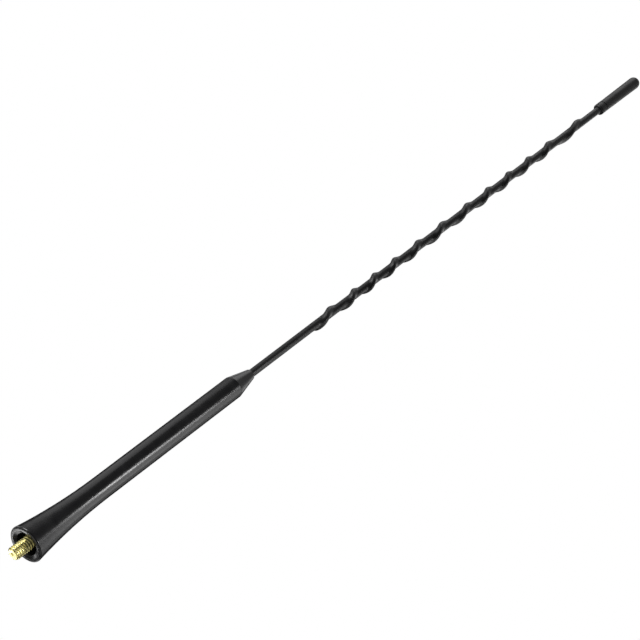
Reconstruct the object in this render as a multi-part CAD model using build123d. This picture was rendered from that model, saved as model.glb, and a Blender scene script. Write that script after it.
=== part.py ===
from build123d import *
import math
import os

os.makedirs("parts", exist_ok=True)

# Screw-in mast aerial for a car roof. The mast stands along +Z, and the origin is the centre of
# the flat rim that seats on the aerial's base. Sizes are in millimetres and degrees.

# Grip: flared hollow foot, straight barrel, conical shoulder and bevelled nose
GRIP_LENGTH = 121.2
RIM_DIAMETER = 14.4
RIM_ROUNDING = 0.7
BARREL_DIAMETER = 8.72
FLARE_HEIGHT = 38.0
SHOULDER_HEIGHT = 10.4
SHOULDER_ROUNDING = 0.8
NOSE_WALL = 0.43
NOSE_BEVEL = 0.3
RECESS_DIAMETER = 8.9
RECESS_DEPTH = 6.0
RECESS_LEAD_IN = 1.2
RECESS_LEAD_DEPTH = 0.6

# Stud: threaded end, undercut, hexagon body held in the grip, and socket for the whip rod
THREAD_DIAMETER = 5.0
THREAD_PROJECTION = 6.1
THREAD_CHAMFER = 0.6
CENTRE_MARK_DIAMETER = 1.3
CENTRE_MARK_DEPTH = 0.6
UNDERCUT_DEPTH = 0.55
UNDERCUT_WIDTH = 1.0
HEX_ACROSS_FLATS = 6.0
HEX_LENGTH = 14.0
HEX_GROOVE_DEPTH = 0.6
HEX_GROOVE_WIDTH = 3.0
SOCKET_DEPTH = 10.0

# Whip: rod, and sleeve with a spiral ridge between its plain lower and upper lengths
ROD_DIAMETER = 2.2
SLEEVE_WALL = 0.45
LOWER_PLAIN_LENGTH = 40.0
SPIRAL_LENGTH = 193.4
UPPER_PLAIN_LENGTH = 14.3
SPIRAL_START_ANGLE = 35.0
RIDGE_HEIGHT = 1.0
RIDGE_CREST_RADIUS = 1.4
RIDGE_CREST_HALF_ANGLE = 70.0
RIDGE_FOOT_HALF_ANGLE = 90.0
RIDGE_ROOTING = 0.03
RUN_OUT_LENGTH = 3.0
RUN_OUT_STEPS = 4

# The winding isn't even: each run is a share of the spiral's length and its left-handed turns
SPIRAL_RUNS = ((0.100, 1.1), (0.177, 2.5), (0.125, 1.5), (0.142, 1.5), (0.322, 4.0), (0.134, 1.1))

# Tip cap: bevelled bead at the mouth, thin groove, body that widens to the end, and a dome
CAP_LENGTH = 33.5
CAP_WALL = 0.96
CAP_CROWN_LENGTH = 9.0
CAP_BEAD_HEIGHT = 3.6
CAP_BEAD_RISE = 0.04
CAP_MOUTH_BEVEL = 0.6
CAP_GROOVE_WIDTH = 0.5
CAP_GROOVE_DEPTH = 0.15
CAP_END_RISE = 0.17

# Fits
MOULDED_GAP = 0.02
SHRUNK_GAP = 0.02
SOCKET_GAP = 0.03

# Heights and diameters that follow from the sizes above
hex_foot = RECESS_DEPTH
hex_top = hex_foot + HEX_LENGTH
rod_foot = hex_top - SOCKET_DEPTH
spiral_foot = GRIP_LENGTH + LOWER_PLAIN_LENGTH
spiral_top = spiral_foot + SPIRAL_LENGTH
cap_mouth = spiral_top + UPPER_PLAIN_LENGTH
mast_top = cap_mouth + CAP_LENGTH
whip_top = mast_top - CAP_CROWN_LENGTH
sleeve_bore = ROD_DIAMETER + 2 * SHRUNK_GAP
sleeve_diameter = sleeve_bore + 2 * SLEEVE_WALL
sleeve_passage = sleeve_diameter + 2 * MOULDED_GAP
nose_diameter = sleeve_passage + 2 * NOSE_WALL
cap_diameter = sleeve_passage + 2 * CAP_WALL


def rod(diameter, foot, top):
    """A plain round length on the mast's axis."""
    return extrude(Pos(0, 0, foot) * Circle(diameter / 2), top - foot)


def ring_edges(solid, diameter, height):
    """The round edges of one diameter at one height."""
    circles = solid.edges().filter_by(GeomType.CIRCLE)
    at_height = [edge for edge in circles if abs(edge.arc_center.Z - height) < 1e-4]
    return [edge for edge in at_height if abs(edge.radius - diameter / 2) < 1e-4]


def corner(outline, across, height):
    """The corner of a flat outline at one place."""
    return [point for point in outline.vertices() if (Vector(point) - Vector(across, height)).length < 1e-4]


def hex_body(growth):
    """The stud's hexagon with its holding groove, or that shape grown to mould the grip on it."""
    outline = RegularPolygon(HEX_ACROSS_FLATS / 2 + growth, 6, major_radius=False)
    body = extrude(Pos(0, 0, hex_foot) * outline, HEX_LENGTH + growth)
    groove_foot = (hex_foot + hex_top - HEX_GROOVE_WIDTH) / 2
    groove_top = groove_foot + HEX_GROOVE_WIDTH
    around = rod(2 * HEX_ACROSS_FLATS, groove_foot + growth, groove_top - growth)
    neck = rod(HEX_ACROSS_FLATS - 2 * HEX_GROOVE_DEPTH + 2 * growth, groove_foot, groove_top)
    return body - (around - neck)


def make_grip():
    """Moulded grip: a turned outline, hollow at the foot and bored for the stud and the sleeve."""
    rim = RIM_DIAMETER / 2
    barrel = BARREL_DIAMETER / 2
    nose = nose_diameter / 2
    shoulder = GRIP_LENGTH - SHOULDER_HEIGHT
    spread = rim - barrel
    flare_radius = (spread**2 + FLARE_HEIGHT**2) / (2 * spread)
    flare = RadiusArc((rim, 0), (barrel, FLARE_HEIGHT), flare_radius)
    sides = Polyline((barrel, FLARE_HEIGHT), (barrel, shoulder), (nose, GRIP_LENGTH), (0, GRIP_LENGTH))
    closing = Polyline((0, GRIP_LENGTH), (0, 0), (rim, 0))
    outline = make_face(flare + sides + closing)
    outline = fillet(corner(outline, rim, 0), RIM_ROUNDING)
    outline = fillet(corner(outline, barrel, shoulder), SHOULDER_ROUNDING)
    outline = chamfer(corner(outline, nose, GRIP_LENGTH), NOSE_BEVEL)
    body = revolve(Plane.XZ * outline, Axis.Z)
    body -= rod(RECESS_DIAMETER, 0, RECESS_DEPTH)
    base = body.faces().sort_by(Axis.Z)[0]
    body = chamfer(ring_edges(body, RECESS_DIAMETER, 0), RECESS_LEAD_IN, RECESS_LEAD_DEPTH, reference=base)
    body -= hex_body(MOULDED_GAP)
    return body - rod(sleeve_passage, hex_top, GRIP_LENGTH)


def make_stud():
    """Turned brass stud: thread at its major diameter, undercut, hexagon body and rod socket."""
    tip = -THREAD_PROJECTION
    thread = rod(THREAD_DIAMETER, tip, hex_foot - UNDERCUT_WIDTH)
    thread = chamfer(ring_edges(thread, THREAD_DIAMETER, tip), THREAD_CHAMFER)
    undercut = rod(THREAD_DIAMETER - 2 * UNDERCUT_DEPTH, hex_foot - UNDERCUT_WIDTH, hex_foot)
    socket = rod(ROD_DIAMETER + 2 * SOCKET_GAP, rod_foot, hex_top)
    mark = Pos(0, 0, tip + CENTRE_MARK_DEPTH / 2) * Cone(CENTRE_MARK_DIAMETER / 2, 0, CENTRE_MARK_DEPTH)
    return thread + undercut + hex_body(0) - socket - mark


def make_radiator_rod():
    """Whip rod, from the floor of the stud's socket to the floor of the cap's bore."""
    return rod(ROD_DIAMETER, rod_foot, whip_top)


def ridge_section(height, angle, share=1.0):
    """Outline of the spiral ridge at a height and an angle, square to the mast.

    A round crest has straight flanks on both sides, which end inside the sleeve's wall.
    A share below one shrinks the outline towards the axis.
    """
    surface = sleeve_diameter / 2
    crest = Vector(surface + RIDGE_HEIGHT, 0)
    crest_reach = Vector(RIDGE_CREST_RADIUS, 0)
    knee = crest - crest_reach + crest_reach.rotate(Axis.Z, RIDGE_CREST_HALF_ANGLE)
    foot = Vector(surface - RIDGE_ROOTING, 0).rotate(Axis.Z, RIDGE_FOOT_HALF_ANGLE)
    other_knee = Vector(knee.X, -knee.Y)
    other_foot = Vector(foot.X, -foot.Y)
    crown = ThreePointArc(knee, crest, other_knee)
    below = Polyline(other_knee, other_foot, foot, knee)
    outline = Wire(crown.edges() + below.edges()).scale(share)
    return Pos(0, 0, height) * Rot(0, 0, angle) * outline


def ridge_run_out(end, angle, turn_per_mm, direction):
    """The stretch where the ridge sinks into the plain sleeve beyond one end of the spiral."""
    surface = sleeve_diameter / 2
    shrinkage = (RIDGE_HEIGHT + RIDGE_ROOTING) / (surface + RIDGE_HEIGHT)
    sections = []
    for step in range(RUN_OUT_STEPS + 1):
        way = step / RUN_OUT_STEPS
        travel = direction * way * RUN_OUT_LENGTH
        share = 1 - shrinkage * (1 - math.cos(math.pi * way)) / 2
        sections.append(ridge_section(end + travel, angle + turn_per_mm * travel, share))
    return Solid.make_loft(sections)


def make_sleeve():
    """Sleeve on the rod, from the stud to the floor of the cap's bore, with the spiral ridge."""
    body = rod(sleeve_diameter, hex_top, whip_top)
    height = spiral_foot
    angle = SPIRAL_START_ANGLE
    first_share, first_turns = SPIRAL_RUNS[0]
    body += ridge_run_out(height, angle, -360 * first_turns / (first_share * SPIRAL_LENGTH), -1)
    for share, turns in SPIRAL_RUNS:
        length = share * SPIRAL_LENGTH
        turn = -360 * turns
        outline = ridge_section(height, angle)
        body += Solid.extrude_linear_with_rotation(outline, (0, 0, height), (0, 0, length), turn)
        height += length
        angle += turn
    last_share, last_turns = SPIRAL_RUNS[-1]
    body += ridge_run_out(height, angle, -360 * last_turns / (last_share * SPIRAL_LENGTH), 1)
    return body - rod(sleeve_bore, hex_top, whip_top)


def make_tip_cap():
    """Moulded cap: bevelled bead at the mouth, thin groove, widening body, dome and blind bore."""
    body_foot = cap_diameter / 2
    bead = body_foot + CAP_BEAD_RISE
    groove = body_foot - CAP_GROOVE_DEPTH
    end = body_foot + CAP_END_RISE
    bead_top = cap_mouth + CAP_BEAD_HEIGHT
    groove_top = bead_top + CAP_GROOVE_WIDTH
    dome_foot = mast_top - end
    mouth = Polyline((0, cap_mouth), (bead, cap_mouth), (bead, bead_top), (groove, bead_top))
    mouth += Polyline((groove, bead_top), (groove, groove_top), (body_foot, groove_top))
    side = Line((body_foot, groove_top), (end, dome_foot))
    dome = RadiusArc((end, dome_foot), (0, mast_top), -end)
    axis = Line((0, mast_top), (0, cap_mouth))
    body = revolve(Plane.XZ * make_face(mouth + side + dome + axis), Axis.Z)
    body = chamfer(ring_edges(body, 2 * bead, cap_mouth), CAP_MOUTH_BEVEL)
    return body - rod(sleeve_passage, cap_mouth, whip_top)


nodes = {
    "grip": make_grip(),
    "stud": make_stud(),
    "radiator_rod": make_radiator_rod(),
    "sleeve": make_sleeve(),
    "tip_cap": make_tip_cap(),
}
for name, node in nodes.items():
    export_step(node, f"parts/{name}.step")
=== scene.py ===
"""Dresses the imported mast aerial: finishes, cut thread, blended ridge, studio light and the camera.

Lengths are in metres unless a class says otherwise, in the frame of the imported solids: the mast stands
along +Z, and the origin is the centre of the grip's flat seating rim.
"""

import logging
import math
from dataclasses import dataclass
from enum import Enum

import bmesh
import bpy
from mathutils import Matrix, Vector


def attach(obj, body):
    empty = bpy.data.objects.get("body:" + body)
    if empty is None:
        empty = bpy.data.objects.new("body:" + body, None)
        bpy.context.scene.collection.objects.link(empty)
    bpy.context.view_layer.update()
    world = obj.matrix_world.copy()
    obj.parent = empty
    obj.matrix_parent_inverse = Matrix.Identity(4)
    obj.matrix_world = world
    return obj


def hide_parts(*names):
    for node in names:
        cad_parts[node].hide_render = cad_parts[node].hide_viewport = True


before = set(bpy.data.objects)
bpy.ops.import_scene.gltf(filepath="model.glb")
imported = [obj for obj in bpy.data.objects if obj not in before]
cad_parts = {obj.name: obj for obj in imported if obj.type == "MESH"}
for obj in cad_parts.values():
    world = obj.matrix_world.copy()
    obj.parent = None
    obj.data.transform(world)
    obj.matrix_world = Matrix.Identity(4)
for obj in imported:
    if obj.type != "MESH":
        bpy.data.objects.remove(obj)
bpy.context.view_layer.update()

MM = 0.001
SHARP_EDGE = math.radians(42)
WELD_DISTANCE = 1e-7
SAME_PLACE_DECIMALS = 9
LOG = logging.getLogger("mast_aerial")

# The range that most values of a noise pattern lie in
NOISE_LOW = 0.3
NOISE_HIGH = 0.7

Colour = tuple[float, float, float]
Places = list[tuple[float, float]]
Build = bmesh.types.BMesh
Row = list[bmesh.types.BMVert]
Tree = bpy.types.NodeTree
Socket = bpy.types.NodeSocket


class Winding(Enum):
    """Which way a thread or a ridge climbs as it turns."""

    RIGHT_HANDED = 1
    LEFT_HANDED = -1


class Ray(Enum):
    """The kinds of ray that a stage piece or a lamp can be kept from."""

    CAMERA = "visible_camera"
    DIFFUSE = "visible_diffuse"
    GLOSSY = "visible_glossy"
    TRANSMISSION = "visible_transmission"
    SHADOW = "visible_shadow"


def hide_from(piece: bpy.types.Object, *rays: Ray) -> None:
    """Keeps a stage piece or a lamp from some kinds of ray.

    Args:
        piece: What to keep from them.
        rays: The kinds of ray.
    """
    for ray in rays:
        setattr(piece, ray.value, False)


def new_material(name: str) -> tuple[bpy.types.Material, Tree]:
    """Makes an empty node material.

    Args:
        name: What the material is called.

    Returns:
        The material and its node tree.
    """
    material = bpy.data.materials.new(name)
    material.use_nodes = True
    material.node_tree.nodes.clear()
    return material, material.node_tree


def noise(tree: Tree, place: Socket, scale: float, detail: float) -> Socket:
    """Adds a noise pattern that is fixed to the object.

    Args:
        tree: The material's node tree.
        place: The coordinates that the pattern follows, in metres.
        scale: How many times the pattern repeats in a metre.
        detail: How many finer layers it has.

    Returns:
        The pattern's value.
    """
    pattern = tree.nodes.new("ShaderNodeTexNoise")
    pattern.inputs["Scale"].default_value = scale
    pattern.inputs["Detail"].default_value = detail
    tree.links.new(place, pattern.inputs["Vector"])
    return pattern.outputs["Fac"]


def spread(tree: Tree, value: Socket, low: float, high: float) -> Socket:
    """Maps a noise value's usual range to another range.

    Args:
        tree: The material's node tree.
        value: The value to map.
        low: What the pattern's darker places give.
        high: What its lighter places give.

    Returns:
        The mapped value.
    """
    mapping = tree.nodes.new("ShaderNodeMapRange")
    mapping.inputs["From Min"].default_value = NOISE_LOW
    mapping.inputs["From Max"].default_value = NOISE_HIGH
    mapping.inputs["To Min"].default_value = low
    mapping.inputs["To Max"].default_value = high
    tree.links.new(value, mapping.inputs["Value"])
    return mapping.outputs["Result"]


def vary_colour(tree: Tree, pattern: Socket, first: Colour, second: Colour) -> Socket:
    """Blends two colours by a noise pattern.

    Args:
        tree: The material's node tree.
        pattern: The noise that the blend follows.
        first: The colour at its darker places.
        second: The colour at its lighter places.

    Returns:
        The blended colour.
    """
    blend = tree.nodes.new("ShaderNodeMix")
    blend.data_type = "RGBA"
    blend.inputs["A"].default_value = (*first, 1.0)
    blend.inputs["B"].default_value = (*second, 1.0)
    tree.links.new(spread(tree, pattern, 0.0, 1.0), blend.inputs["Factor"])
    return blend.outputs["Result"]


def relief(tree: Tree, pattern: Socket, strength: float, depth: float) -> Socket:
    """Turns a noise pattern into fine relief.

    Args:
        tree: The material's node tree.
        pattern: The noise that gives the height.
        strength: How much of the relief shows.
        depth: Height of the relief.

    Returns:
        The surface's normal.
    """
    bump = tree.nodes.new("ShaderNodeBump")
    bump.inputs["Strength"].default_value = strength
    bump.inputs["Distance"].default_value = depth
    tree.links.new(pattern, bump.inputs["Height"])
    return bump.outputs["Normal"]


def cover(tree: Tree, colour: Socket, roughness: Socket, normal: Socket) -> bpy.types.Node:
    """Adds the shader that covers a material's surface.

    Args:
        tree: The material's node tree.
        colour: The surface's colour.
        roughness: Its roughness.
        normal: Its normal, with the fine relief.

    Returns:
        The shader, for what else the finish sets.
    """
    shader = tree.nodes.new("ShaderNodeBsdfPrincipled")
    tree.links.new(colour, shader.inputs["Base Color"])
    tree.links.new(roughness, shader.inputs["Roughness"])
    tree.links.new(normal, shader.inputs["Normal"])
    show(tree, shader.outputs["BSDF"])
    return shader


def show(tree: Tree, shader: Socket) -> None:
    """Makes a shader the material's surface.

    Args:
        tree: The material's node tree.
        shader: What the surface shows.
    """
    output = tree.nodes.new("ShaderNodeOutputMaterial")
    tree.links.new(shader, output.inputs["Surface"])


@dataclass(frozen=True)
class MouldedPlastic:
    """Black plastic as it comes from a mould: fine grain, and gloss that varies a little.

    Attributes:
        name: What the material is called.
        dark: Colour in the darker clouds.
        light: Colour in the lighter clouds.
        polished: Roughness where the mould was smoothest.
        dull: Roughness where it was coarsest.
        grain_scale: Grains in a metre.
        grain_depth: Height of the grain.
        grain_strength: How much of the grain shows.
        grains_in_cloud: Grains across one cloud, in which colour and gloss vary.
        cloud_detail: Finer layers in the clouds.
        grain_detail: Finer layers in the grain.
    """

    name: str
    dark: Colour
    light: Colour
    polished: float
    dull: float
    grain_scale: float
    grain_depth: float
    grain_strength: float
    grains_in_cloud: float = 40
    cloud_detail: float = 3.0
    grain_detail: float = 2.0

    def material(self) -> bpy.types.Material:
        """Builds the node material.

        Returns:
            The finished material.
        """
        material, tree = new_material(self.name)
        place = tree.nodes.new("ShaderNodeTexCoord").outputs["Object"]
        cloud = noise(tree, place, self.grain_scale / self.grains_in_cloud, self.cloud_detail)
        grain = noise(tree, place, self.grain_scale, self.grain_detail)
        cover(
            tree,
            colour=vary_colour(tree, cloud, self.dark, self.light),
            roughness=spread(tree, cloud, self.polished, self.dull),
            normal=relief(tree, grain, self.grain_strength, self.grain_depth),
        )
        return material


@dataclass(frozen=True)
class TurnedMetal:
    """Bare metal from a lathe: fine tool rings square to the mast, with small stains.

    Attributes:
        name: What the material is called.
        bright: Colour of the freshly cut metal.
        stained: Colour where it has dulled.
        polished: Roughness of the freshly cut metal.
        dull: Roughness where it has dulled.
        ring_pitch: Spacing of the tool rings.
        ring_depth: Depth of the tool rings.
        ring_strength: How much of the tool rings shows.
        ring_detail: Finer layers in the tool rings.
        round_scale: How slowly the rings change round the mast, against along it.
        stain_scale: Stains in a metre.
        stain_detail: Finer layers in the stains.
    """

    name: str
    bright: Colour
    stained: Colour
    polished: float
    dull: float
    ring_pitch: float
    ring_depth: float
    ring_strength: float = 0.4
    ring_detail: float = 2.0
    round_scale: float = 0.05
    stain_scale: float = 700.0
    stain_detail: float = 4.0

    def material(self) -> bpy.types.Material:
        """Builds the node material.

        Returns:
            The finished material.
        """
        material, tree = new_material(self.name)
        place = tree.nodes.new("ShaderNodeTexCoord").outputs["Object"]
        stain = noise(tree, place, self.stain_scale, self.stain_detail)
        stretch = tree.nodes.new("ShaderNodeMapping")
        stretch.inputs["Scale"].default_value = (self.round_scale, self.round_scale, 1.0)
        tree.links.new(place, stretch.inputs["Vector"])
        rings = noise(tree, stretch.outputs["Vector"], 1 / self.ring_pitch, self.ring_detail)
        shader = cover(
            tree,
            colour=vary_colour(tree, stain, self.bright, self.stained),
            roughness=spread(tree, stain, self.polished, self.dull),
            normal=relief(tree, rings, self.ring_strength, self.ring_depth),
        )
        shader.inputs["Metallic"].default_value = 1.0
        return material


@dataclass(frozen=True)
class PaleFloor:
    """A plain pale floor that only shows from above, and fades out before its edge.

    Attributes:
        name: What the material is called.
        pale: The floor's colour.
        full_radius: How far from the mast the floor is whole.
        edge_radius: Where it has faded out.
    """

    name: str
    pale: Colour
    full_radius: float
    edge_radius: float

    def material(self) -> bpy.types.Material:
        """Builds the node material.

        Returns:
            The finished material.
        """
        material, tree = new_material(self.name)
        place = tree.nodes.new("ShaderNodeTexCoord").outputs["Object"]
        reach = tree.nodes.new("ShaderNodeVectorMath")
        reach.operation = "LENGTH"
        tree.links.new(place, reach.inputs[0])
        fade = tree.nodes.new("ShaderNodeMapRange")
        fade.interpolation_type = "SMOOTHSTEP"
        fade.inputs["From Min"].default_value = self.full_radius
        fade.inputs["From Max"].default_value = self.edge_radius
        tree.links.new(reach.outputs["Value"], fade.inputs["Value"])
        underside = tree.nodes.new("ShaderNodeNewGeometry").outputs["Backfacing"]
        clear = tree.nodes.new("ShaderNodeMath")
        clear.operation = "MAXIMUM"
        tree.links.new(fade.outputs["Result"], clear.inputs[0])
        tree.links.new(underside, clear.inputs[1])
        solid = tree.nodes.new("ShaderNodeBsdfDiffuse")
        solid.inputs["Color"].default_value = (*self.pale, 1.0)
        nothing = tree.nodes.new("ShaderNodeBsdfTransparent")
        both = tree.nodes.new("ShaderNodeMixShader")
        tree.links.new(clear.outputs["Value"], both.inputs["Fac"])
        tree.links.new(solid.outputs["BSDF"], both.inputs[1])
        tree.links.new(nothing.outputs["BSDF"], both.inputs[2])
        show(tree, both.outputs["Shader"])
        return material


@dataclass(frozen=True)
class MattCard:
    """Matt studio card.

    Attributes:
        name: What the material is called.
        shade: The card's colour.
    """

    name: str
    shade: Colour

    def material(self) -> bpy.types.Material:
        """Builds the node material.

        Returns:
            The finished material.
        """
        material, tree = new_material(self.name)
        shader = tree.nodes.new("ShaderNodeBsdfDiffuse")
        shader.inputs["Color"].default_value = (*self.shade, 1.0)
        show(tree, shader.outputs["BSDF"])
        return material


Finish = MouldedPlastic | TurnedMetal | PaleFloor | MattCard

GRIP_PLASTIC = MouldedPlastic(
    name="grip_plastic",
    dark=(0.008, 0.008, 0.0085),
    light=(0.011, 0.011, 0.0115),
    polished=0.22,
    dull=0.28,
    grain_scale=9000.0,
    grain_depth=4e-6,
    grain_strength=0.15,
)
SLEEVE_PLASTIC = MouldedPlastic(
    name="sleeve_plastic",
    dark=(0.006, 0.006, 0.0064),
    light=(0.009, 0.009, 0.0095),
    polished=0.34,
    dull=0.42,
    grain_scale=7000.0,
    grain_depth=6e-6,
    grain_strength=0.25,
)
CAP_PLASTIC = MouldedPlastic(
    name="cap_plastic",
    dark=(0.006, 0.006, 0.0064),
    light=(0.009, 0.009, 0.0095),
    polished=0.36,
    dull=0.44,
    grain_scale=7000.0,
    grain_depth=6e-6,
    grain_strength=0.4,
)
STUD_BRASS = TurnedMetal(
    name="stud_brass",
    bright=(0.93, 0.86, 0.41),
    stained=(0.85, 0.74, 0.25),
    polished=0.27,
    dull=0.36,
    ring_pitch=0.06 * MM,
    ring_depth=4e-6,
)
ROD_STEEL = TurnedMetal(
    name="rod_steel",
    bright=(0.60, 0.60, 0.61),
    stained=(0.48, 0.48, 0.49),
    polished=0.25,
    dull=0.40,
    ring_pitch=0.10 * MM,
    ring_depth=3e-6,
)
FLOOR_PALE = PaleFloor(name="floor_pale", pale=(0.90, 0.90, 0.90), full_radius=0.10, edge_radius=0.75)
CARD_BLACK = MattCard(name="card_black", shade=(0.04, 0.04, 0.04))


def dress(piece: bpy.types.Object, finish: Finish) -> None:
    """Gives a piece one finish all over.

    Args:
        piece: The mesh to dress.
        finish: The finish that its real counterpart has.
    """
    piece.data.materials.clear()
    piece.data.materials.append(finish.material())


def circle(radius: float, columns: int) -> Places:
    """Works out evenly spaced places round the mast.

    Args:
        radius: From the mast's axis to the places.
        columns: How many places there are.

    Returns:
        The places, anticlockwise from +X.
    """
    turns = [math.tau * column / columns for column in range(columns)]
    return [(radius * math.cos(turn), radius * math.sin(turn)) for turn in turns]


def ring(build: Build, points: Places, height: float) -> Row:
    """Adds a level row of points.

    Args:
        build: The mesh under construction.
        points: Places across the mast.
        height: Their height.

    Returns:
        The new points, in order.
    """
    return [build.verts.new((x, y, height)) for x, y in points]


def bridge(build: Build, lower: Row, upper: Row) -> None:
    """Closes the band between two rows of points that go round the mast.

    Args:
        build: The mesh under construction.
        lower: The row that the faces start from.
        upper: The row that they end at, further along the surface.
    """
    for step in range(len(lower)):
        build.faces.new((lower[step - 1], lower[step], upper[step], upper[step - 1]))


def put_up(build: Build, name: str, finish: Finish) -> bpy.types.Object:
    """Turns a construction into a dressed piece of the scene.

    Args:
        build: The mesh under construction, which is used up.
        name: What the piece is called.
        finish: What its surface is like.

    Returns:
        The new piece.
    """
    mesh = bpy.data.meshes.new(name)
    build.to_mesh(mesh)
    build.free()
    piece = bpy.data.objects.new(name, mesh)
    bpy.context.scene.collection.objects.link(piece)
    dress(piece, finish)
    return piece


def put_up_smooth(build: Build, name: str, finish: Finish) -> bpy.types.Object:
    """Turns a closed construction into a dressed piece that is smooth between its sharp edges.

    Args:
        build: The mesh under construction, which is used up.
        name: What the piece is called.
        finish: What its surface is like.

    Returns:
        The new piece.
    """
    bmesh.ops.recalc_face_normals(build, faces=build.faces)
    piece = put_up(build, name, finish)
    piece.data.shade_smooth()
    piece.data.set_sharp_from_angle(angle=SHARP_EDGE)
    return piece


@dataclass(frozen=True)
class PackedPiece:
    """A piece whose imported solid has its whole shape, and needs only its finish.

    Attributes:
        node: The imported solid's name.
        finish: What its surface is like.
    """

    node: str
    finish: Finish

    def build(self) -> bpy.types.Object:
        """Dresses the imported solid.

        Returns:
            The dressed piece.
        """
        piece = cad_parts[self.node]
        dress(piece, self.finish)
        return piece


@dataclass
class Stud:
    """Turned brass stud with its thread cut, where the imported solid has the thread's full diameter.

    Sizes are in millimetres.

    Attributes:
        columns: Points in one turn round the stud.
        pitch: Rise of the thread in one turn.
        crest: Radius of the thread's crest.
        root: Radius of its root.
        tip: Height of the stud's tip.
        tip_radius: Radius of the flat on the tip.
        lead_in: Length of the bevel at the tip.
        mark_radius: Radius of the lathe's centre mark in the tip.
        mark_depth: Depth of the centre mark.
        thread_end: Height where the thread's last turn starts to run out.
        undercut: Radius of the undercut.
        undercut_foot: Height where the undercut starts.
        body_foot: Height of the hexagon's lower face.
        body_top: Height of its upper face.
        flats: Half of the hexagon's width across flats.
        groove: Radius at the bottom of the holding groove.
        groove_foot: Height of the groove's lower side.
        groove_top: Height of its upper side.
        socket: Radius of the rod's socket.
        socket_floor: Height of the socket's floor.
        section: Shares of the pitch from a crest's middle, each with the share of the thread's height.
        winding: Which way the thread climbs.
    """

    columns: int = 96
    pitch: float = 1.0
    crest: float = 2.5
    root: float = 2.18
    tip: float = -6.1
    tip_radius: float = 1.9
    lead_in: float = 0.6
    mark_radius: float = 0.65
    mark_depth: float = 0.6
    thread_end: float = 4.6
    undercut: float = 1.95
    undercut_foot: float = 5.0
    body_foot: float = 6.0
    body_top: float = 20.0
    flats: float = 3.0
    groove: float = 2.4
    groove_foot: float = 11.5
    groove_top: float = 14.5
    socket: float = 1.13
    socket_floor: float = 10.0
    section: tuple[tuple[float, float], ...] = (
        (0.0, 1.0), (0.2, 1.0), (0.25, 0.9), (0.38, 0.1), (0.42, 0.0), (0.5, 0.0)
    )
    winding: Winding = Winding.RIGHT_HANDED

    def limit(self, height: float) -> float:
        """Works out how far the bevelled tip and the run-out let the thread stand.

        Args:
            height: Where on the stud, in mm.

        Returns:
            The largest radius there, in mm.
        """
        if height < self.tip + self.lead_in:
            return self.tip_radius + (self.crest - self.tip_radius) * (height - self.tip) / self.lead_in
        if height > self.thread_end:
            way = (height - self.thread_end) / (self.undercut_foot - self.thread_end)
            return self.crest + (self.undercut - self.crest) * way
        return self.crest

    def profile(self, share: float) -> float:
        """Works out the thread's radius before its ends are cut back.

        Args:
            share: Share of the pitch above the middle of a crest.

        Returns:
            The radius there, in mm.
        """
        share = abs((share + 0.5) % 1.0 - 0.5)
        for (near, high), (far, low) in zip(self.section, self.section[1:]):
            if share <= far:
                height = high + (low - high) * (share - near) / (far - near)
                return self.root + (self.crest - self.root) * height
        return self.root

    def hexagon(self) -> Places:
        """Works out places on the hexagon's flats, in the same directions as a circle's.

        Returns:
            The places, in metres.
        """
        half_side = math.tau / 12
        places = []
        for column in range(self.columns):
            turn = math.tau * column / self.columns
            beside = (turn + half_side) % (2 * half_side) - half_side
            reach = self.flats * MM / math.cos(half_side - abs(beside))
            places.append((reach * math.cos(turn), reach * math.sin(turn)))
        return places

    def cut_thread(self, build: Build) -> tuple[Row, Row]:
        """Winds the thread's surface from the tip to the undercut.

        Args:
            build: The mesh under construction.

        Returns:
            The row of points at the tip, and the row at the undercut.
        """
        above = [share for share, _ in self.section[:-1]]
        stations = sorted([-share for share, _ in self.section[1:]] + above)
        # Spare turns below and above, which the tip and the undercut cut off
        first = math.floor(self.tip / self.pitch) - 2
        last = math.ceil(self.undercut_foot / self.pitch) + 1
        columns = []
        for column in range(self.columns):
            turn = math.tau * column / self.columns
            lift = self.winding.value * self.pitch * column / self.columns
            rows = []
            for count in range(first, last + 1):
                for station in stations:
                    height = (count + station) * self.pitch + lift
                    height = min(max(height, self.tip), self.undercut_foot)
                    radius = min(self.profile((height - lift) / self.pitch), self.limit(height))
                    place = (radius * MM * math.cos(turn), radius * MM * math.sin(turn), height * MM)
                    rows.append(build.verts.new(place))
            columns.append(rows)
        start = columns[0]
        climb = self.winding.value * len(stations)
        columns.append([start[min(max(row + climb, 0), len(start) - 1)] for row in range(len(start))])
        # Beyond the tip and the undercut the rows lie on one another and leave no face to make
        for near, far in zip(columns, columns[1:]):
            for row in range(len(near) - 1):
                corners = (near[row], far[row], far[row + 1], near[row + 1])
                places = {corner.co.to_tuple(SAME_PLACE_DECIMALS) for corner in corners}
                if len(places) > 2 and len(set(corners)) == 4:
                    build.faces.new(corners)
        return [rows[0] for rows in columns[:-1]], [rows[-1] for rows in columns[:-1]]

    def close_tip(self, build: Build, at_tip: Row) -> None:
        """Closes the tip with its flat and the lathe's centre mark.

        Args:
            build: The mesh under construction.
            at_tip: The thread's row of points at the tip.
        """
        mark = ring(build, circle(self.mark_radius * MM, self.columns), self.tip * MM)
        bridge(build, mark, at_tip)
        centre = build.verts.new((0, 0, (self.tip + self.mark_depth) * MM))
        for step in range(self.columns):
            build.faces.new((mark[step], mark[step - 1], centre))

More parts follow.
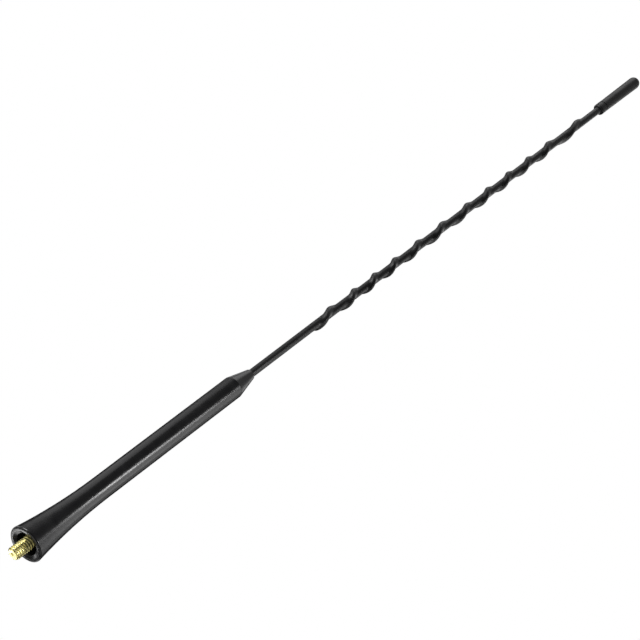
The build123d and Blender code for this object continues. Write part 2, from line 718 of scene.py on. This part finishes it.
    def turn_body(self, build: Build, at_undercut: Row) -> None:
        """Adds the undercut, the grooved hexagon and the rod's socket.

        Args:
            build: The mesh under construction.
            at_undercut: The thread's row of points at the undercut.
        """
        hexagon = self.hexagon()
        undercut = circle(self.undercut * MM, self.columns)
        groove = circle(self.groove * MM, self.columns)
        socket = circle(self.socket * MM, self.columns)
        levels = (
            (undercut, self.body_foot),
            (hexagon, self.body_foot),
            (hexagon, self.groove_foot),
            (groove, self.groove_foot),
            (groove, self.groove_top),
            (hexagon, self.groove_top),
            (hexagon, self.body_top),
            (socket, self.body_top),
            (socket, self.socket_floor),
        )
        below = at_undercut
        for points, height in levels:
            above = ring(build, points, height * MM)
            bridge(build, below, above)
            below = above
        build.faces.new(below)

    def build(self) -> bpy.types.Object:
        """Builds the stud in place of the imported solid, and dresses it.

        Returns:
            The finished piece.
        """
        build = bmesh.new()
        at_tip, at_undercut = self.cut_thread(build)
        self.close_tip(build, at_tip)
        self.turn_body(build, at_undercut)
        bmesh.ops.remove_doubles(build, verts=build.verts, dist=WELD_DISTANCE)
        stud = put_up_smooth(build, "threaded_stud", STUD_BRASS)
        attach(stud, "root")
        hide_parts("stud")
        return stud


@dataclass
class Sleeve:
    """Whip sleeve whose spiral ridge blends into it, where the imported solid's ridge has straight flanks.

    Sizes are in millimetres and degrees.

    Attributes:
        columns: Points in one turn round the sleeve.
        row_step: Rise from row to row along the spiral.
        bore: Radius of the bore round the rod.
        surface: Radius of the plain sleeve.
        foot: Height of the sleeve's foot, inside the grip.
        top: Height of its top, inside the cap.
        spiral_foot: Height where the ridge has its full height.
        spiral_length: Length of the ridge at its full height.
        run_out: Length over which it sinks into the sleeve at each end.
        start_angle: Where the ridge starts, anticlockwise from +X as seen from the tip.
        ridge_height: How far the crest stands above the sleeve.
        ridge_half_angle: From the crest to where the ridge has blended into the sleeve.
        ridge_sharpness: How narrow the crest is, where 1 is a plain wave.
        easing: Length over which the winding changes from one run to the next.
        easing_samples: Places in that length whose winding is averaged.
        runs: Each run's share of the spiral's length, and its turns.
        winding: Which way the ridge climbs.
    """

    columns: int = 72
    row_step: float = 0.3
    bore: float = 1.12
    surface: float = 1.57
    foot: float = 20.0
    top: float = 393.4
    spiral_foot: float = 161.2
    spiral_length: float = 193.4
    run_out: float = 3.0
    start_angle: float = 35.0
    ridge_height: float = 1.0
    ridge_half_angle: float = 105.0
    ridge_sharpness: float = 1.5
    easing: float = 5.0
    easing_samples: int = 9
    runs: tuple[tuple[float, float], ...] = (
        (0.100, 1.1), (0.177, 2.5), (0.125, 1.5), (0.142, 1.5), (0.322, 4.0), (0.134, 1.1)
    )
    winding: Winding = Winding.LEFT_HANDED

    def wound(self, height: float) -> float:
        """Counts the turns that the runs have made, before easing.

        Args:
            height: Where on the sleeve, in mm.

        Returns:
            The turns, which are negative below the foot of the spiral.
        """
        start, turns, reached = self.spiral_foot, 0.0, 0.0
        for share, run_turns in self.runs:
            length = share * self.spiral_length
            reached = turns + run_turns / length * (height - start)
            if height < start + length:
                break
            start += length
            turns += run_turns
        return reached

    def crest_angle(self, height: float) -> float:
        """Works out where the crest is, with the changes of winding eased.

        Args:
            height: Where on the sleeve, in mm.

        Returns:
            The crest's direction, in degrees.
        """
        shares = [step / (self.easing_samples - 1) - 0.5 for step in range(self.easing_samples)]
        turns = sum(self.wound(height + self.easing * share) for share in shares) / self.easing_samples
        return self.start_angle + self.winding.value * 360 * turns

    def fullness(self, height: float) -> float:
        """The ridge's share of its full height at a height, which sinks to nothing beyond both ends."""
        beyond = max(self.spiral_foot - height, height - self.spiral_foot - self.spiral_length, 0.0)
        return (1 + math.cos(math.pi * min(beyond / self.run_out, 1.0))) / 2

    def outline(self, height: float) -> Places:
        """Works out places round the sleeve and its ridge.

        Args:
            height: Where on the sleeve, in mm.

        Returns:
            The places, in metres.
        """
        crest = self.crest_angle(height)
        swell = self.ridge_height * self.fullness(height)
        places = []
        for column in range(self.columns):
            angle = 360 * column / self.columns
            aside = abs((angle - crest + 180) % 360 - 180) / self.ridge_half_angle
            wave = (1 + math.cos(math.pi * min(aside, 1.0))) / 2
            reach = (self.surface + swell * wave**self.ridge_sharpness) * MM
            places.append((reach * math.cos(math.radians(angle)), reach * math.sin(math.radians(angle))))
        return places

    def build(self) -> bpy.types.Object:
        """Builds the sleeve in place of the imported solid, and dresses it.

        Returns:
            The finished piece.
        """
        build = bmesh.new()
        ridge_foot = self.spiral_foot - self.run_out
        ridge_length = self.spiral_length + 2 * self.run_out
        steps = round(ridge_length / self.row_step)
        heights = [ridge_foot + ridge_length * step / steps for step in range(steps + 1)]
        bore = circle(self.bore * MM, self.columns)
        bore_foot = ring(build, bore, self.foot * MM)
        below = bore_foot
        for height in (self.foot, *heights, self.top):
            above = ring(build, self.outline(height), height * MM)
            bridge(build, below, above)
            below = above
        bore_top = ring(build, bore, self.top * MM)
        bridge(build, below, bore_top)
        bridge(build, bore_top, bore_foot)
        sleeve = put_up_smooth(build, "ridged_sleeve", SLEEVE_PLASTIC)
        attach(sleeve, "root")
        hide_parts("sleeve")
        return sleeve


@dataclass(frozen=True)
class SoftBox:
    """A lamp with an even, diffusing front that faces the mast.

    Attributes:
        name: What the lamp is called.
        bearing: Degrees round the mast from the front of the picture towards +X.
        elevation: Degrees above the level of the place that it faces.
        distance: From that place to the lamp.
        width: Across the lamp.
        height: Up the lamp.
        radiance: How bright its front is, where 1 is white.
        aim_height: Height on the mast that it faces, usually the grip's middle.
    """

    name: str
    bearing: float
    elevation: float
    distance: float
    width: float
    height: float
    radiance: float
    aim_height: float = 60 * MM

    def build(self) -> None:
        """Hangs the lamp."""
        data = bpy.data.lights.new(self.name, "AREA")
        data.shape = "RECTANGLE"
        data.size = self.width
        data.size_y = self.height
        # The power that an even front of this size needs for its radiance
        data.energy = self.radiance * math.pi * self.width * self.height
        lamp = bpy.data.objects.new(self.name, data)
        turn = math.radians(self.bearing)
        rise = math.radians(self.elevation)
        level = Vector((math.sin(turn), -math.cos(turn), 0))
        outward = level * math.cos(rise) + Vector((0, 0, math.sin(rise)))
        upward = Vector((0, 0, math.cos(rise))) - level * math.sin(rise)
        across = upward.cross(outward)
        place = Vector((0, 0, self.aim_height)) + outward * self.distance
        turned = Matrix((across, upward, outward)).transposed().to_4x4()
        lamp.matrix_world = Matrix.Translation(place) @ turned
        hide_from(lamp, Ray.CAMERA)
        bpy.context.scene.collection.objects.link(lamp)


@dataclass
class Studio:
    """Plain pale floor, white surroundings, soft boxes, a dark card round them and a flag.

    Attributes:
        floor_height: Level of the floor, just under the stud's tip.
        floor_radius: How far the floor reaches.
        floor_sides: Corners of the floor's edge.
        ambient: Strength of the surroundings as light.
        card_radius: From the mast to the dark card.
        card_sides: Flat stretches of the card round the mast.
        card_foot: Height of the card's lower edge.
        card_top: Height of its upper edge.
        flag_bearing: Degrees from the front of the picture towards +X, as for the line box.
        flag_reach: From the mast to the flag.
        flag_width: Across the flag.
        flag_foot: Height of the flag's lower edge.
        flag_top: Height of its upper edge.
        lamps: The soft boxes, each with its name, bearing, elevation, distance, width, height and
            radiance, and for one the height that it faces.
    """

    floor_height: float = -6.2 * MM
    floor_radius: float = 0.8
    floor_sides: int = 64
    ambient: float = 0.35
    card_radius: float = 2.0
    card_sides: int = 48
    card_foot: float = -4.0
    card_top: float = 4.0
    flag_bearing: float = 35.5
    flag_reach: float = 0.226
    flag_width: float = 0.06
    flag_foot: float = 0.255
    flag_top: float = 0.465
    lamps: tuple[SoftBox, ...] = (
        SoftBox("line_box", 35.5, 28.9, 1.035, 0.18, 0.206, 28.0),
        SoftBox("right_box", 68.0, 34.0, 1.2, 0.98, 0.34, 2.35),
        SoftBox("left_box", -86.0, 26.0, 1.2, 1.3, 0.60, 0.98),
        SoftBox("ridge_box", -67.0, -1.0, 1.2, 0.42, 0.36, 16.0),
        SoftBox("bead_box", -118.0, 7.0, 1.2, 0.45, 0.30, 4.0),
        SoftBox("upper_left_box", -80.0, 60.0, 1.2, 0.7, 0.45, 1.2),
        SoftBox("upper_right_box", 112.0, 60.2, 0.533, 0.217, 0.207, 1.25),
        SoftBox("top_box", 0.0, 88.0, 1.5, 2.0, 2.0, 0.35),
        SoftBox("low_left_box", -92.0, -30.0, 1.0, 0.9, 0.8, 0.9),
        SoftBox("low_right_box", 85.0, -30.0, 1.0, 0.8, 0.8, 0.6),
        SoftBox("back_strip", 180.0, 22.0, 1.2, 0.35, 1.0, 1.2),
        SoftBox("base_card", -167.5, -62.0, 0.103, 0.016, 0.03, 1.8),
        SoftBox("rim_card", -178.0, -62.3, 0.1035, 0.007, 0.006, 14.0),
        SoftBox("stud_card", 9.0, 31.0, 0.0075, 0.0055, 0.0025, 1.3, -7.2 * MM),
        SoftBox("back_right_box", 154.0, -18.0, 1.0, 0.5, 0.4, 1.8),
        SoftBox("back_left_box", -154.0, -18.0, 1.0, 0.25, 0.3, 1.8),
        SoftBox("side_box", 110.0, 34.0, 1.2, 0.55, 0.34, 0.6),
        SoftBox("edge_box", -150.0, 48.0, 1.2, 0.7, 0.3, 0.7),
    )

    def world(self) -> None:
        """Sets surroundings that are white to look at and in reflections, and softer as light."""
        world = bpy.data.worlds.new("surroundings")
        bpy.context.scene.world = world
        world.use_nodes = True
        tree = world.node_tree
        tree.nodes.clear()
        path = tree.nodes.new("ShaderNodeLightPath")
        seen = path.outputs["Is Camera Ray"]
        for kind in ("Is Glossy Ray", "Is Transmission Ray"):
            either = tree.nodes.new("ShaderNodeMath")
            either.operation = "MAXIMUM"
            tree.links.new(seen, either.inputs[0])
            tree.links.new(path.outputs[kind], either.inputs[1])
            seen = either.outputs["Value"]
        strength = tree.nodes.new("ShaderNodeMapRange")
        strength.inputs["To Min"].default_value = self.ambient
        strength.inputs["To Max"].default_value = 1.0
        tree.links.new(seen, strength.inputs["Value"])
        background = tree.nodes.new("ShaderNodeBackground")
        background.inputs["Color"].default_value = (1.0, 1.0, 1.0, 1.0)
        tree.links.new(strength.outputs["Result"], background.inputs["Strength"])
        output = tree.nodes.new("ShaderNodeOutputWorld")
        tree.links.new(background.outputs["Background"], output.inputs["Surface"])

    def floor(self) -> None:
        """Lays the floor, which takes the aerial's shadow and lets light and reflections pass."""
        build = bmesh.new()
        build.faces.new(ring(build, circle(self.floor_radius, self.floor_sides), 0.0))
        floor = put_up(build, "floor", FLOOR_PALE)
        floor.location.z = self.floor_height
        hide_from(floor, Ray.DIFFUSE, Ray.GLOSSY, Ray.TRANSMISSION, Ray.SHADOW)

    def dark_card(self) -> None:
        """Bends a dark card round and over the lamps, which only reflections show."""
        build = bmesh.new()
        places = circle(self.card_radius, self.card_sides)
        lower = ring(build, places, self.card_foot)
        upper = ring(build, places, self.card_top)
        bridge(build, upper, lower)
        build.faces.new(upper)
        card = put_up(build, "dark_card", CARD_BLACK)
        hide_from(card, Ray.CAMERA, Ray.DIFFUSE, Ray.TRANSMISSION, Ray.SHADOW)

    def flag(self) -> None:
        """Hangs a narrow dark card that keeps the line box's light off the whip."""
        turn = math.radians(self.flag_bearing)
        middle = Vector((math.sin(turn), -math.cos(turn))) * self.flag_reach
        aside = Vector((math.cos(turn), math.sin(turn))) * (self.flag_width / 2)
        left, right = tuple(middle - aside), tuple(middle + aside)
        build = bmesh.new()
        lower = ring(build, [left, right], self.flag_foot)
        upper = ring(build, [right, left], self.flag_top)
        build.faces.new(lower + upper)
        flag = put_up(build, "flag", CARD_BLACK)
        hide_from(flag, Ray.CAMERA, Ray.DIFFUSE, Ray.TRANSMISSION)

    def build(self) -> None:
        """Builds the whole studio."""
        self.world()
        self.floor()
        self.dark_card()
        self.flag()
        for lamp in self.lamps:
            lamp.build()


@dataclass
class Viewpoint:
    """The camera, at the photograph's viewing angle.

    Attributes:
        aim_height: Height on the mast at the middle of the picture.
        aim_side: How far the middle of the picture lies beside the mast.
        distance: From the camera to that point.
        axis_angle: Degrees between the view and the mast.
        picture_slope: Degrees that the mast rises across the picture.
        lens_mm: Focal length, in millimetres, on a sensor 36 mm wide.
    """

    aim_height: float = 164.4 * MM
    aim_side: float = -0.39 * MM
    distance: float = 842.0 * MM
    axis_angle: float = 49.6
    picture_slope: float = 37.19
    lens_mm: float = 122.6

    def build(self) -> None:
        """Places the camera and makes it the scene's own."""
        tilt = math.radians(self.axis_angle)
        slope = math.radians(self.picture_slope)
        view = Vector((0, math.sin(tilt), math.cos(tilt)))
        along = Vector((0, -math.cos(tilt), math.sin(tilt)))
        across = Vector((1, 0, 0))
        right = along * math.cos(slope) + across * math.sin(slope)
        up = along * math.sin(slope) - across * math.cos(slope)
        turn = Matrix((right, up, -view)).transposed().to_4x4()
        place = Vector((self.aim_side, 0, self.aim_height)) - view * self.distance
        data = bpy.data.cameras.new("photograph")
        data.lens = self.lens_mm
        camera = bpy.data.objects.new("photograph", data)
        camera.matrix_world = Matrix.Translation(place) @ turn
        bpy.context.scene.collection.objects.link(camera)
        bpy.context.scene.camera = camera


def main() -> None:
    """Builds the aerial's looks, the studio and the camera."""
    logging.basicConfig(level=logging.INFO, format="%(name)s: %(message)s")
    bpy.context.scene.view_settings.view_transform = "Standard"
    for packed in (
        PackedPiece("grip", GRIP_PLASTIC),
        PackedPiece("radiator_rod", ROD_STEEL),
        PackedPiece("tip_cap", CAP_PLASTIC),
    ):
        LOG.info("dressed %s", packed.build().name)
    stud = Stud().build()
    LOG.info("cut %s with %d faces", stud.name, len(stud.data.polygons))
    sleeve = Sleeve().build()
    LOG.info("drew %s with %d faces", sleeve.name, len(sleeve.data.polygons))
    Studio().build()
    Viewpoint().build()


if __name__ == "__main__":
    main()
